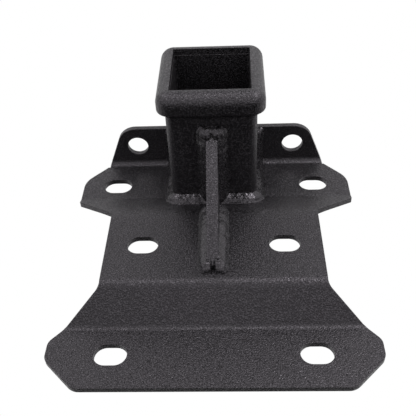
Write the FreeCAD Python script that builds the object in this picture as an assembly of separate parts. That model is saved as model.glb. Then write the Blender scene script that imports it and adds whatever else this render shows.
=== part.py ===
import FreeCAD, Part
import math
import os

# Receiver hitch: a square receiver tube welded on a folded mounting plate.
# Millimetres. X runs across the plate, Y away from the front flange, Z along the tube to its mouth.
# The origin is where the hitch pin's axis crosses the tube's axis.

# Sheet
sheet = 3.8
bend_inside = 4.0

# Receiver tube and its mouth
tube_out = 60.0
tube_wall = 4.0
tube_corner = 5.5
mouth_above_rear = 91.7
pin_from_mouth = 63.5
pin_hole = 16.3
mouth_open = 52.4
lip = 4.7
collar_gap = 0.25
collar_wall = 5.0
collar_height = 14.8
collar_corner = 9.2
collar_top_round = 8.3
collar_foot_round = 1.8

# Folded plate, from the tube's middle towards the front
joggle = 7.6
ramp_inset = 5.7
ramp_run = 22.7
ramp_round = 45.0
main_length = 64.3
step_run = 18.0
step_drop = 22.7
flange_length = 42.5

# Upturned tabs and the tongue between them
tab_inset = 13.7
tab_height = 32.4
tab_top_half = 68.2
tab_round = 14.2
tab_hole = 15.4
tab_hole_x = 57.9
tab_hole_height = 17.0
tab_side_gap = 0.75
tongue_slit = 2.5
tongue_reach = 7.0

# Plate outline, half widths
main_half = 70.9
flange_half = 101.9
flange_foot_half = 93.1
flange_chamfer = 20.1
ear_half = 97.4
front_round = 9.5
side_round = 7.5
side_from_foot = 9.9
waist_round = 5.5
waist_from_step = 1.4
notch_round = 1.4
notch_from_ramp = 0.6
ear_front_rise = 17.9
ear_rear_fall = 16.5
ear_rear_round = 17.0
ear_root_half = 82.2

# Slots
slot_long = 20.4
slot_wide = 15.0
front_slot_x = 62.0
front_slot_from_edge = 23.1
main_slot_x = 46.4
main_slot_from_ramp = 32.1
ear_slot_x = 71.9
ear_slot_y = -10.2

# Gusset and welds
gusset_thick = 7.5
gusset_rise = 54.8
gusset_reach = 70.9
gusset_nose = 3.0
weld_leg = 5.0
weld_root = 1.5
weld_fullness = 0.6
weld_end_run = 3.0
weld_end_leg = 2.5
tab_weld_short = 2.0
shortest_weld_run = 0.5
collar_weld_leg = 2.5

# Places worked out from the sizes above
tube_half = tube_out / 2
mouth_z = pin_from_mouth
rear_z = mouth_z - mouth_above_rear
main_z = rear_z + joggle
flange_z = main_z - step_drop
ramp_foot_y = ramp_inset - tube_half
ramp_top_y = ramp_foot_y - ramp_run
step_top_y = ramp_top_y - main_length
step_foot_y = step_top_y - step_run
front_y = step_foot_y - flange_length
tab_face_y = tube_half - tab_inset
bend_start_y = tab_face_y - bend_inside
tab_inner = tube_half + tab_side_gap
tube_top_z = mouth_z - lip
far = 400.0


def vec(x, y, z):
    return FreeCAD.Vector(x, y, z)


def rounded_wire(corners, radii):
    """Closed wire through the corners, each one rounded by its own radius (0 leaves it sharp)."""
    edges = []
    starts = []
    ends = []
    count = len(corners)
    for i in range(count):
        here = corners[i]
        back = (corners[i - 1] - here).normalize()
        ahead = (corners[(i + 1) % count] - here).normalize()
        if radii[i] == 0:
            starts.append(here)
            ends.append(here)
            edges.append(None)
            continue
        half_angle = back.getAngle(ahead) / 2
        run = radii[i] / math.tan(half_angle)
        middle = (back + ahead).normalize()
        centre = here + middle * (radii[i] / math.sin(half_angle))
        starts.append(here + back * run)
        ends.append(here + ahead * run)
        edges.append(Part.Arc(starts[i], centre - middle * radii[i], ends[i]).toShape())
    loop = []
    for i in range(count):
        if edges[i] is not None:
            loop.append(edges[i])
        following = starts[(i + 1) % count]
        if ends[i].distanceToPoint(following) > 1e-6:
            loop.append(Part.makeLine(ends[i], following))
    return Part.Wire(loop)


def prism(corners, radii, direction):
    return Part.Face(rounded_wire(corners, radii)).extrude(direction)


def square_wire(side, corner, z):
    half = side / 2
    places = [vec(-half, -half, z), vec(half, -half, z), vec(half, half, z), vec(-half, half, z)]
    return rounded_wire(places, [corner] * 4)


def square_prism(side, corner, z_low, z_high):
    return Part.Face(square_wire(side, corner, z_low)).extrude(vec(0, 0, z_high - z_low))


def fold_line(offset):
    """Corners of one face of the folded sheet, moved down by the offset, front edge to tab top."""
    path = [
        (front_y, flange_z),
        (step_foot_y, flange_z),
        (step_top_y, main_z),
        (ramp_top_y, main_z),
        (ramp_foot_y, rear_z),
        (tab_face_y, rear_z),
        (tab_face_y, rear_z + tab_height),
    ]
    normals = []
    for a, b in zip(path, path[1:]):
        length = math.hypot(b[0] - a[0], b[1] - a[1])
        normals.append(((b[1] - a[1]) / length, -(b[0] - a[0]) / length))
    corners = []
    for i, (y, z) in enumerate(path):
        first = normals[max(i - 1, 0)]
        second = normals[min(i, len(normals) - 1)]
        share = 1 + first[0] * second[0] + first[1] * second[1]
        y_shift = offset * (first[0] + second[0]) / share
        z_shift = offset * (first[1] + second[1]) / share
        corners.append(vec(0, y + y_shift, z + z_shift))
    return corners


def folded_strip():
    """The bent sheet at full width, before its outline is cut."""
    upper = fold_line(0.0)
    lower = fold_line(sheet)
    inside = bend_inside
    outside = bend_inside + sheet
    upper_radii = [0, inside, outside, ramp_round, inside, inside, 0]
    lower_radii = [0, outside, inside, ramp_round - sheet, outside, outside, 0]
    profile = rounded_wire(upper + lower[::-1], upper_radii + lower_radii[::-1])
    strip = Part.Face(profile).extrude(vec(2 * far, 0, 0))
    strip.translate(vec(-far, 0, 0))
    return strip


def plate_outline():
    """Plan outline of the plate as an upright prism."""
    right = [
        (flange_half - flange_chamfer, front_y, front_round),
        (flange_half, front_y + flange_chamfer, side_round),
        (flange_half, step_foot_y - side_from_foot, side_round),
        (flange_foot_half, step_foot_y, 0),
        (main_half, step_top_y - waist_from_step, waist_round),
        (main_half, ramp_top_y - notch_from_ramp, notch_round),
        (ear_half, ramp_top_y - notch_from_ramp + ear_front_rise, notch_round),
        (ear_half, bend_start_y - ear_rear_fall, ear_rear_round),
        (ear_root_half, bend_start_y, 0),
        (ear_root_half, far, 0),
    ]
    corners = [vec(x, y, -far) for x, y, r in right] + [vec(-x, y, -far) for x, y, r in reversed(right)]
    radii = [r for x, y, r in right] + [r for x, y, r in reversed(right)]
    return prism(corners, radii, vec(0, 0, 2 * far))


def tab_outline():
    """Front outline of the two tabs, open below, as a prism along Y."""
    foot = rear_z - sheet
    top = rear_z + tab_height
    right = [(ear_root_half, -far, 0), (ear_root_half, foot, 0), (tab_top_half, top, tab_round)]
    corners = [vec(x, 0, z) for x, z, r in right] + [vec(-x, 0, z) for x, z, r in reversed(right)]
    radii = [r for x, z, r in right] + [r for x, z, r in reversed(right)]
    outline = prism(corners, radii, vec(0, far, 0))
    outline.translate(vec(0, bend_start_y, 0))
    return outline


def slot_cutter(x, y):
    straight = (slot_long - slot_wide) / 2
    radius = slot_wide / 2
    cutter = Part.makeBox(2 * straight, slot_wide, 2 * far, vec(x - straight, y - radius, -far))
    for side in (-straight, straight):
        cutter = cutter.fuse(Part.makeCylinder(radius, 2 * far, vec(x + side, y, -far)))
    return cutter.removeSplitter()


def mounting_plate():
    plate = folded_strip().common(plate_outline())
    flat_part = Part.makeBox(2 * far, far, 2 * far, vec(-far, bend_start_y - far, -far))
    plate = plate.common(flat_part.fuse(tab_outline()))
    slit_start = bend_start_y - tongue_slit
    plate = plate.cut(Part.makeBox(2 * tab_inner, far, 2 * far, vec(-tab_inner, slit_start, -far)))
    tongue_half = tab_inner - tongue_slit
    tongue_end = tube_half + tongue_reach
    tongue_corner = vec(-tongue_half, slit_start, rear_z - sheet)
    plate = plate.fuse(Part.makeBox(2 * tongue_half, tongue_end - slit_start, sheet, tongue_corner))
    rows = [
        (front_slot_x, front_y + front_slot_from_edge),
        (main_slot_x, ramp_top_y - main_slot_from_ramp),
        (ear_slot_x, ear_slot_y),
    ]
    for x, y in rows:
        for side in (-1, 1):
            plate = plate.cut(slot_cutter(side * x, y))
    for side in (-1, 1):
        place = vec(side * tab_hole_x, 0, rear_z + tab_hole_height)
        plate = plate.cut(Part.makeCylinder(tab_hole / 2, far, place, vec(0, 1, 0)))
    return plate.removeSplitter()


def receiver_tube(plate):
    inside = tube_out - 2 * tube_wall
    tube = square_prism(tube_out, tube_corner, rear_z, tube_top_z)
    tube = tube.cut(square_prism(inside, tube_corner - tube_wall, rear_z - 1, mouth_z))
    pin = Part.makeCylinder(pin_hole / 2, 2 * tube_out, vec(-tube_out, 0, 0), vec(1, 0, 0))
    return tube.cut(pin).cut(plate)


def mouth_collar():
    bore = tube_out + 2 * collar_gap
    outside = bore + 2 * collar_wall
    foot_z = mouth_z - collar_height
    collar = square_prism(outside, collar_corner, foot_z, mouth_z)
    top_rim = [e for e in collar.Edges if e.BoundBox.ZMin > mouth_z - 0.01]
    collar = collar.makeFillet(collar_top_round, top_rim)
    foot_rim = [e for e in collar.Edges if e.BoundBox.ZMax < foot_z + 0.01]
    collar = collar.makeFillet(collar_foot_round, foot_rim)
    collar = collar.cut(square_prism(bore, tube_corner + collar_gap, foot_z - 1, tube_top_z))
    half = mouth_open / 2
    return collar.cut(Part.makeBox(mouth_open, mouth_open, 2 * lip, vec(-half, -half, tube_top_z - 1)))


def gusset(plate):
    top = main_z + gusset_rise
    tip = -tube_half - gusset_reach
    left = -gusset_thick / 2
    corners = [
        vec(left, -tube_half, rear_z),
        vec(left, -tube_half, top),
        vec(left, -tube_half - gusset_nose, top),
        vec(left, tip, main_z + gusset_nose),
        vec(left, tip, rear_z),
    ]
    web = prism(corners, [0] * len(corners), vec(gusset_thick, 0, 0))
    web = web.cut(plate)
    return max(web.Solids, key=lambda solid: solid.Volume)


def skin(sections):
    """Solid through a row of flat sections that have the same number of corners."""
    faces = []
    count = len(sections[0])
    for near, next_one in zip(sections, sections[1:]):
        for k in range(count):
            a, b = near[k], near[(k + 1) % count]
            c, d = next_one[(k + 1) % count], next_one[k]
            faces.append(Part.Face(Part.makePolygon([a, b, c, a])))
            faces.append(Part.Face(Part.makePolygon([a, c, d, a])))
    for cap in (sections[0], sections[-1]):
        faces.append(Part.Face(Part.makePolygon(cap + [cap[0]])))
    solid = Part.makeSolid(Part.makeShell(faces))
    if solid.Volume < 0:
        solid.reverse()
    return solid


def fillet_bead(stations):
    """Weld bead along a corner. A station is the corner's place, the two wall directions and the leg."""
    sections = []
    for root, a, b, leg in stations:
        inner = root - (a + b) * weld_root
        crown = root + (a + b) * (leg * weld_fullness)
        sections.append([
            inner,
            root + a * leg - b * weld_root,
            root + a * leg,
            crown,
            root + b * leg,
            root + b * leg - a * weld_root,
        ])
    return skin(sections)


def floor_height(y):
    """Height of the plate's upper face under the tube and the gusset."""
    if y >= ramp_foot_y:
        return rear_z
    if y <= ramp_top_y:
        return main_z
    return rear_z + joggle * (ramp_foot_y - y) / ramp_run


def tube_foot_station(x, y, out_x, out_y):
    outward = vec(out_x, out_y, 0)
    rise = 0.0
    if y < ramp_foot_y:
        rise = -out_y * joggle / ramp_run
    along_plate = (outward + vec(0, 0, rise)).normalize()
    return (vec(x, y, floor_height(y)), along_plate, vec(0, 0, 1), weld_leg)


def tube_foot_bead():
    """Bead round the tube's foot, from one tab round the front to the other tab."""
    middle = tube_half - tube_corner
    steps = 4
    right = []
    for k in range(steps + 1):
        turn = math.pi / 2 * k / steps
        sine, cosine = math.sin(turn), math.cos(turn)
        x = middle + tube_corner * sine
        y = -middle - tube_corner * cosine
        right.append(tube_foot_station(x, y, sine, -cosine))
    # The ramp's foot gets a station of its own where it lies behind the corner
    if ramp_foot_y + middle > shortest_weld_run:
        right.append(tube_foot_station(tube_half, ramp_foot_y, 1, 0))
    right.append(tube_foot_station(tube_half, tab_face_y, 1, 0))
    left = []
    for root, a, b, leg in reversed(right):
        left.append((vec(-root.x, root.y, root.z), vec(-a.x, a.y, a.z), b, leg))
    return fillet_bead(left + right)


def tongue_bead():
    """Bead behind the tube, on the tongue."""
    middle = tube_half - tube_corner
    ends = [(vec(x, tube_half, rear_z), vec(0, 1, 0), vec(0, 0, 1), weld_leg) for x in (-middle, middle)]
    return fillet_bead(ends)


def tab_beads():
    """Upright beads between the tube's sides and the tabs."""
    beads = []
    for side in (-1, 1):
        heights = (rear_z + bend_inside / 2, rear_z + tab_height - tab_weld_short)
        x = side * tube_half
        ends = [(vec(x, tab_face_y, z), vec(side, 0, 0), vec(0, -1, 0), weld_leg) for z in heights]
        beads.append(fillet_bead(ends))
    return beads


def gusset_beads():
    """Beads on both sides of the gusset, up the tube and along the plate, and over its top."""
    top = main_z + gusset_rise
    tip = -tube_half - gusset_reach
    heights = [(floor_height(-tube_half), weld_leg), (top, weld_leg), (top + weld_end_run, weld_end_leg)]
    places = [(ramp_top_y, weld_leg), (tip, weld_leg), (tip - weld_end_run, weld_end_leg)]
    beads = []
    for side in (-1, 1):
        x = side * gusset_thick / 2
        out = vec(side, 0, 0)
        beads.append(fillet_bead([(vec(x, -tube_half, z), out, vec(0, -1, 0), leg) for z, leg in heights]))
        beads.append(fillet_bead([(vec(x, y, main_z), out, vec(0, 0, 1), leg) for y, leg in places]))
    reach = gusset_thick / 2 + weld_root
    ends = [(vec(x, -tube_half, top), vec(0, -1, 0), vec(0, 0, 1), weld_end_run) for x in (-reach, reach)]
    beads.append(fillet_bead(ends))
    return beads


def collar_bead():
    """Bead under the collar, round the tube."""
    foot_z = mouth_z - collar_height
    wide = tube_out + 2 * collar_weld_leg
    rings = [
        square_wire(wide, tube_corner + collar_weld_leg, foot_z),
        square_wire(tube_out, tube_corner, foot_z - collar_weld_leg),
    ]
    bead = Part.makeLoft(rings, True, True)
    return bead.cut(square_prism(tube_out, tube_corner, foot_z - 2 * collar_weld_leg, mouth_z))


def weld_beads(others):
    beads = [tube_foot_bead(), tongue_bead(), collar_bead()] + tab_beads() + gusset_beads()
    joined = beads[0].multiFuse(beads[1:])
    for other in others:
        joined = joined.cut(other)
    return Part.makeCompound(joined.Solids)


def write_parts():
    os.makedirs("parts", exist_ok=True)
    plate = mounting_plate()
    tube = receiver_tube(plate)
    collar = mouth_collar()
    web = gusset(plate)
    welds = weld_beads([plate, tube, collar, web])
    named = {
        "mounting_plate": plate,
        "receiver_tube": tube,
        "mouth_collar": collar,
        "gusset": web,
        "weld_beads": welds,
    }
    for name, shape in named.items():
        shape.exportStep("parts/" + name + ".step")


write_parts()
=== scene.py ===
import bpy
import math
from mathutils import Matrix, Vector
from mathutils.bvhtree import BVHTree


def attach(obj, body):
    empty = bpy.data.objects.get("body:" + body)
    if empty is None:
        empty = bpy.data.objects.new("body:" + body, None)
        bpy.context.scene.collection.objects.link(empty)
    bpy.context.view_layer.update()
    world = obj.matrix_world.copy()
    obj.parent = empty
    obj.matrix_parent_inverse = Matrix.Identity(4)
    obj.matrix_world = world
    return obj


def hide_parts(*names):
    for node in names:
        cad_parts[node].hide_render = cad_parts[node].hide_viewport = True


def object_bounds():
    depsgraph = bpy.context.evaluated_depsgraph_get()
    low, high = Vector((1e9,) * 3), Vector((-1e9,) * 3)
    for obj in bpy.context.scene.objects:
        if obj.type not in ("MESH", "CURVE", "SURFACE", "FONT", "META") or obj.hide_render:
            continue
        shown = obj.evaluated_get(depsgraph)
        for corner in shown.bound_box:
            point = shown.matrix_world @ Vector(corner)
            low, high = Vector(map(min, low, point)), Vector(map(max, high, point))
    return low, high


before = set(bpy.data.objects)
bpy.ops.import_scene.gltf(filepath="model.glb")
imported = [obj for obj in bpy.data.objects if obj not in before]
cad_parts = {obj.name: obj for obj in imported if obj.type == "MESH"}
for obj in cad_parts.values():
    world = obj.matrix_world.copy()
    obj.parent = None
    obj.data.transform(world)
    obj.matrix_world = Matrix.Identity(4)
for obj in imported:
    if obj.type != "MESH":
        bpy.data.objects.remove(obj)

cad_low, cad_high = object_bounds()

# Camera: where the photo was taken from, in the part's own frame, in metres and degrees
eye = Vector((0.01441, -0.37464, 0.28054))
look_down = math.radians(42.29)
look_aside = math.radians(-3.23)
tilt = math.radians(3.11)
near_clip = 0.01
far_clip = 50.0

# Lens: focal length and the photo's width in pixels, the sensor's width in millimetres
focal_pixels = 645.56
photo_pixels = 416.0
sensor_width = 36.0

# Powder coat's colours: its own black, which is also the painted shade in the hollows of its grain; the
# painted highlight on the grain's tops; the coat's sheen; and the heights of the grain between which
# painted shade turns to painted highlight
coat_black_and_painted_shade = (0.0020, 0.0019, 0.0021, 1.0)
grain_painted_highlight = (0.037, 0.0347, 0.0382, 1.0)
coat_sheen = (0.98, 0.91, 1.0, 1.0)
painted_highlight_start = 0.47
painted_highlight_end = 0.69

# Powder coat's roughness, which varies in patches a little larger than the grain
coat_roughness = 0.42
weld_roughness = 0.30
roughness_spread = 0.12
patches_per_grain = 0.7
patch_low = 0.3
patch_high = 0.7

# Powder coat's bumps, in metres
pebble_size = 0.0018
pebble_depth = 0.00008
grain_size = 0.0009
grain_depth = 0.00030
weld_grain_depth = 0.00013
bump_detail = 1.0
noise_roughness = 0.5
edge_round = 0.0007
edge_samples = 4

# Weld metal, in metres
weld_voxel = 0.0005
weld_swell = 0.0013
softening_share = 0.5
softening_rounds = 8
toe_reach = 0.0009
toe_height = 0.0018
lump_size = 0.0060
lump_height = 0.0009
ripple_size = 0.0022
ripple_height = 0.00035

# White floor and wall, in metres
white = (1, 1, 1, 1)
floor_gap = 0.0003
floor_reach = 6.0
wall_reach = 5.5

# Room above the horizon: how steeply a direction rises, and the light that comes from there
room_heights = ((0.1, 0.45), (0.45, 1.40), (0.67, 1.50), (0.84, 0.12))
room_lean = 0.08

# Room below the horizon, by how far a direction points away from the camera
dark_ground_end = -0.60
bright_ground_start = -0.10
camera_side_light = 0.01
far_side_light = 0.95

# Rise over which the ground gives way to the walls
ground_end = -0.05
wall_start = 0.15

# Colour sockets of Blender's Mix node, which have no names of their own
mix_first = 6
mix_second = 7
mix_result = 2

# Lamps above the part, in metres and watts
lamp_aside = 0.42
lamp_along = -0.06
lamp_height = 0.95
lamp_aim = Vector((0, -0.05, 0))
lamp_size = 0.35
right_power = 6.4
left_power = 3.6


def add_node(tree, kind, **settings):
    """New shader node with the named inputs set."""
    node = tree.nodes.new(kind)
    for name, value in settings.items():
        node.inputs[name].default_value = value
    return node


def add_range(tree, low, high, start, end):
    """New shader node that takes values from low to high over to values from start to end."""
    node = tree.nodes.new("ShaderNodeMapRange")
    node.inputs["From Min"].default_value = low
    node.inputs["From Max"].default_value = high
    node.inputs["To Min"].default_value = start
    node.inputs["To Max"].default_value = end
    return node


def coat_noise(tree, place, scale, detail):
    """Noise that is fixed to the piece."""
    noise = add_node(tree, "ShaderNodeTexNoise", Scale=scale, Detail=detail, Roughness=noise_roughness)
    tree.links.new(place.outputs["Object"], noise.inputs["Vector"])
    return noise


def painted_grain_light(tree, shader, grain):
    """Black coat with painted shade in the hollows of its grain and a painted highlight on the tops of
    its grain.
    """
    grain_light_ramp = tree.nodes.new("ShaderNodeValToRGB")
    dark, pale = grain_light_ramp.color_ramp.elements
    dark.position = painted_highlight_start
    dark.color = coat_black_and_painted_shade
    pale.position = painted_highlight_end
    pale.color = grain_painted_highlight
    # The grain's height picks painted shade in its hollows and a painted highlight on its tops
    tree.links.new(grain.outputs["Fac"], grain_light_ramp.inputs["Fac"])
    tree.links.new(grain_light_ramp.outputs["Color"], shader.inputs["Base Color"])


def patchy_roughness(tree, shader, place, roughness):
    """Small patches that are rougher or smoother than the coat's mean roughness."""
    patches = coat_noise(tree, place, patches_per_grain / grain_size, 0.0)
    smoothest = roughness - roughness_spread
    roughest = roughness + roughness_spread
    spread = add_range(tree, patch_low, patch_high, smoothest, roughest)
    tree.links.new(patches.outputs["Fac"], spread.inputs["Value"])
    tree.links.new(spread.outputs["Result"], shader.inputs["Roughness"])


def bumpy_skin(tree, shader, place, grain, depth):
    """Pebbles with the finer grain on them, over softly rounded edges."""
    pebbles = coat_noise(tree, place, 1.0 / pebble_size, bump_detail)
    edges = add_node(tree, "ShaderNodeBevel", Radius=edge_round)
    edges.samples = edge_samples
    coarse = add_node(tree, "ShaderNodeBump", Strength=1.0, Distance=pebble_depth)
    fine = add_node(tree, "ShaderNodeBump", Strength=1.0, Distance=depth)
    tree.links.new(edges.outputs["Normal"], coarse.inputs["Normal"])
    tree.links.new(pebbles.outputs["Fac"], coarse.inputs["Height"])
    tree.links.new(coarse.outputs["Normal"], fine.inputs["Normal"])
    tree.links.new(grain.outputs["Fac"], fine.inputs["Height"])
    tree.links.new(fine.outputs["Normal"], shader.inputs["Normal"])


def powder_coat(name, roughness, depth):
    """Satin black textured powder coat of a given mean roughness and grain depth."""
    material = bpy.data.materials.new(name)
    material.use_nodes = True
    tree = material.node_tree
    shader = tree.nodes["Principled BSDF"]
    shader.inputs["Specular Tint"].default_value = coat_sheen
    place = tree.nodes.new("ShaderNodeTexCoord")
    grain = coat_noise(tree, place, 1.0 / grain_size, bump_detail)
    # Base colour: the coat's black with painted shade in the grain's hollows and painted highlights on
    # its tops
    painted_grain_light(tree, shader, grain)
    patchy_roughness(tree, shader, place, roughness)
    bumpy_skin(tree, shader, place, grain, depth)
    return material


def coat_steel():
    """One powder coat on all the CAD pieces."""
    material = powder_coat("powder_coat", coat_roughness, grain_depth)
    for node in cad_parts.values():
        node.data.materials.clear()
        node.data.materials.append(material)


def even_grid(piece, name):
    """Make the piece's mesh anew from small even faces."""
    grid = piece.modifiers.new(name, "REMESH")
    grid.mode = "VOXEL"
    grid.voxel_size = weld_voxel
    grid.use_smooth_shade = True


def cloudy_push(piece, name, size, height):
    """Push the surface in and out by a cloudy noise of the given size."""
    clouds = bpy.data.textures.new(name, "CLOUDS")
    clouds.noise_scale = size
    push = piece.modifiers.new(name, "DISPLACE")
    push.texture = clouds
    push.texture_coords = "LOCAL"
    push.strength = height


def swollen_beads(piece):
    """Swell the plain beads and soften their edges."""
    even_grid(piece, "first_grid")
    swell = piece.modifiers.new("swell", "DISPLACE")
    swell.strength = weld_swell
    swell.mid_level = 0.0
    even_grid(piece, "second_grid")
    soften = piece.modifiers.new("soften", "SMOOTH")
    soften.factor = softening_share
    soften.iterations = softening_rounds


def apply_modifiers(piece):
    """Turn the piece's shape under its modifiers into its own mesh."""
    shaped = piece.evaluated_get(bpy.context.evaluated_depsgraph_get())
    piece.data = bpy.data.meshes.new_from_object(shaped)
    piece.modifiers.clear()


def steel_surface():
    """Search tree over the faces of the steel pieces that the weld metal lies on."""
    places = []
    faces = []
    for name in ("mounting_plate", "receiver_tube", "mouth_collar", "gusset"):
        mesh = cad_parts[name].data
        start = len(places)
        places.extend(point.co.copy() for point in mesh.vertices)
        faces.extend([start + corner for corner in face.vertices] for face in mesh.polygons)
    return BVHTree.FromPolygons(places, faces)


def feather_toes(mesh):
    """Draw the weld's low edges out along the steel, so that they run out instead of ending in a step."""
    steel = steel_surface()
    normals = [point.normal.copy() for point in mesh.vertices]
    for point, normal in zip(mesh.vertices, normals):
        foot, facing = steel.find_nearest(point.co)[:2]
        height = (point.co - foot).dot(facing)
        share = min(max(1 - height / toe_height, 0), 1)
        along = normal - normal.dot(facing) * facing
        point.co += toe_reach * share ** 2 * along


def weld_metal():
    """Uneven, lumpy weld runs that stand for the plain CAD beads."""
    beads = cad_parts["weld_beads"]
    piece = bpy.data.objects.new("weld_metal", beads.data.copy())
    bpy.context.collection.objects.link(piece)
    swollen_beads(piece)
    apply_modifiers(piece)
    feather_toes(piece.data)
    piece.data.materials.clear()
    piece.data.materials.append(powder_coat("weld_coat", weld_roughness, weld_grain_depth))
    cloudy_push(piece, "lumps", lump_size, lump_height)
    cloudy_push(piece, "ripple", ripple_size, ripple_height)
    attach(piece, "root")
    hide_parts("weld_beads")


def white_sheet():
    """Evenly glowing white."""
    material = bpy.data.materials.new("white_sheet")
    material.use_nodes = True
    tree = material.node_tree
    tree.nodes.remove(tree.nodes["Principled BSDF"])
    glow = add_node(tree, "ShaderNodeEmission", Color=white, Strength=1.0)
    tree.links.new(glow.outputs["Emission"], tree.nodes["Material Output"].inputs["Surface"])
    return material


def stage_sheet(name, material):
    """Name the newest mesh and make it a white sheet that throws no light on the part."""
    sheet = bpy.context.object
    sheet.name = name
    sheet.data.materials.append(material)
    sheet.visible_glossy = False
    sheet.visible_diffuse = False
    return sheet


def white_surround():
    """Evenly white floor that the part lies over, with a round wall far out around it."""
    material = white_sheet()
    middle = (0, 0, cad_low.z - floor_gap)
    bpy.ops.mesh.primitive_plane_add(size=2 * floor_reach, location=middle)
    stage_sheet("floor", material)
    bpy.ops.mesh.primitive_cylinder_add(
        radius=wall_reach,
        depth=2 * wall_reach,
        end_fill_type="NOTHING",
        location=middle,
    )
    wall = stage_sheet("backdrop", material)
    wall.visible_shadow = False


def wall_light(tree, parts):
    """Pale walls under a dim ceiling, in bands that sit a little higher on the camera's side."""
    lean = tree.nodes.new("ShaderNodeMath")
    lean.operation = "MULTIPLY_ADD"
    away, share, rise = lean.inputs
    share.default_value = room_lean
    walls = tree.nodes.new("ShaderNodeValToRGB")
    stops = walls.color_ramp.elements
    while len(stops) < len(room_heights):
        stops.new(1.0)
    for stop, (height, light) in zip(stops, room_heights):
        stop.position = height
        stop.color = (light, light, light, 1)
    tree.links.new(parts.outputs["Y"], away)
    tree.links.new(parts.outputs["Z"], rise)
    tree.links.new(lean.outputs["Value"], walls.inputs["Fac"])
    return walls.outputs["Color"]


def ground_light(tree, parts):
    """Ground that is dark only on the camera's side."""
    ground = add_range(tree, dark_ground_end, bright_ground_start, camera_side_light, far_side_light)
    tree.links.new(parts.outputs["Y"], ground.inputs["Value"])
    return ground.outputs["Result"]


def room():
    """Surroundings that the coat reflects: walls and ceiling above the horizon, ground below it."""
    world = bpy.data.worlds.new("room")
    bpy.context.scene.world = world
    world.use_nodes = True
    tree = world.node_tree
    direction = tree.nodes.new("ShaderNodeTexCoord")
    parts = tree.nodes.new("ShaderNodeSeparateXYZ")
    skirting = add_range(tree, ground_end, wall_start, 0.0, 1.0)
    join = tree.nodes.new("ShaderNodeMix")
    join.data_type = "RGBA"
    tree.links.new(direction.outputs["Generated"], parts.inputs["Vector"])
    tree.links.new(parts.outputs["Z"], skirting.inputs["Value"])
    tree.links.new(skirting.outputs["Result"], join.inputs["Factor"])
    tree.links.new(ground_light(tree, parts), join.inputs[mix_first])
    tree.links.new(wall_light(tree, parts), join.inputs[mix_second])
    tree.links.new(join.outputs[mix_result], tree.nodes["Background"].inputs["Color"])


def soft_box(name, aside, power):
    """Square lamp above the part, set aside from its middle and aimed at it."""
    light = bpy.data.lights.new(name, "AREA")
    light.shape = "SQUARE"
    light.size = lamp_size
    light.energy = power
    lamp = bpy.data.objects.new(name, light)
    place = Vector((aside, lamp_along, lamp_height))
    lamp.location = place
    lamp.rotation_euler = (lamp_aim - place).to_track_quat("-Z", "Y").to_euler()
    bpy.context.collection.objects.link(lamp)


def photo_camera():
    """Camera at the photo's place, turned and tilted as it was."""
    level = Vector((math.cos(look_aside), -math.sin(look_aside), 0))
    heading = Vector((math.sin(look_aside), math.cos(look_aside), 0))
    ahead = math.cos(look_down) * heading - Vector((0, 0, math.sin(look_down)))
    upright = level.cross(ahead)
    right = math.cos(tilt) * level - math.sin(tilt) * upright
    up = math.sin(tilt) * level + math.cos(tilt) * upright
    turn = Matrix((right, up, -ahead)).transposed().to_4x4()
    lens = bpy.data.cameras.new("camera")
    lens.sensor_width = sensor_width
    lens.lens = sensor_width * (focal_pixels / photo_pixels)
    lens.clip_start = near_clip
    lens.clip_end = far_clip
    camera = bpy.data.objects.new("camera", lens)
    camera.matrix_world = Matrix.Translation(eye) @ turn
    bpy.context.collection.objects.link(camera)
    bpy.context.scene.camera = camera


coat_steel()
weld_metal()
white_surround()
room()
soft_box("right_light", lamp_aside, right_power)
soft_box("left_light", -lamp_aside, left_power)
photo_camera()
bpy.context.scene.view_settings.view_transform = "Standard"
